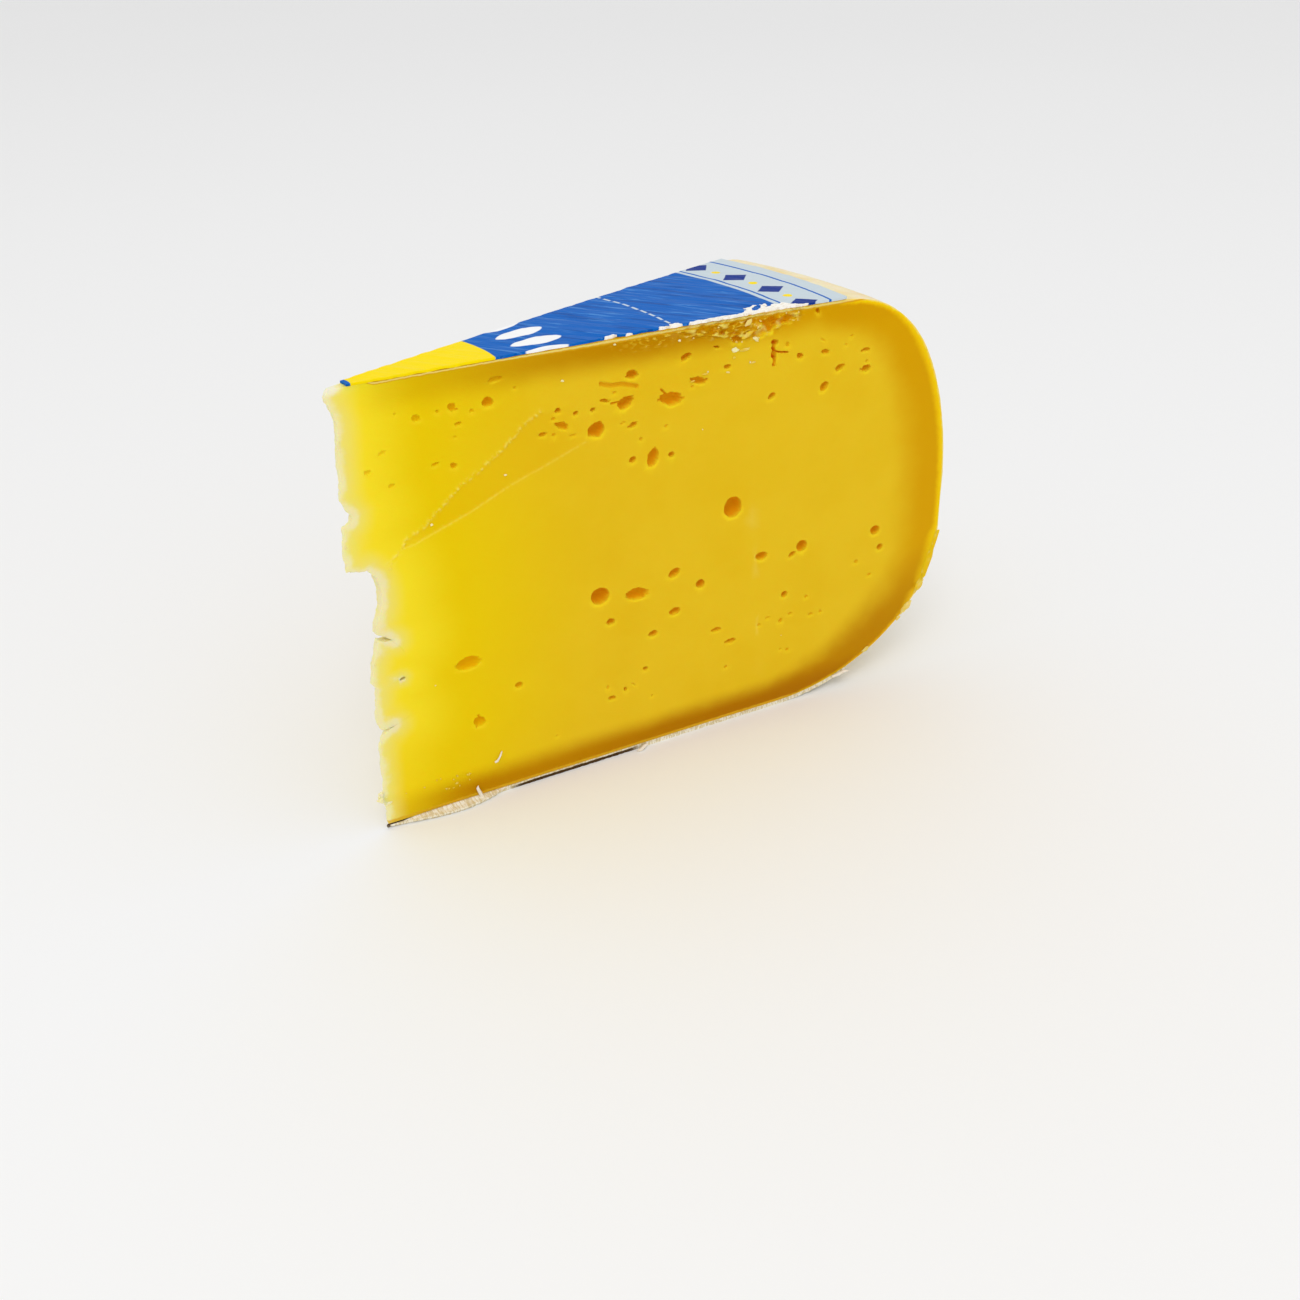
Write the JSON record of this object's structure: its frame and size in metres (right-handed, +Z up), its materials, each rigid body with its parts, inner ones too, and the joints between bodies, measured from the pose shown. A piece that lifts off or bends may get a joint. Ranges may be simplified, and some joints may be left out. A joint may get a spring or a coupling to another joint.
{
  "type": "cheese wedge",
  "caption": "Wedge cut from a round semi-hard yellow cheese, standing on its underside, with a printed paper disc on top, a paper backing, gas eyes and a torn thin edge.",
  "frame": {"origin": "middle of the footprint, on the surface that the wedge stands on", "axes": "+X from the thin torn edge to the rind along the middle of the wedge, +Y from the front cut face to the back cut face, +Z up"},
  "size_m": [0.1706, 0.0618, 0.1179],
  "materials": {
    "cheese_paste": "moist satin, slightly translucent at the thin edge",
    "printed_paper": "printed thin paper, finely wrinkled, torn to white fibres along the front",
    "backing_paper": "cream fibrous paper with a frayed cut edge"
  },
  "bodies": {
    "root": {"cheese": "cheese_paste", "top_label": "printed_paper", "bottom_paper": "backing_paper"}
  },
  "joints": []
}
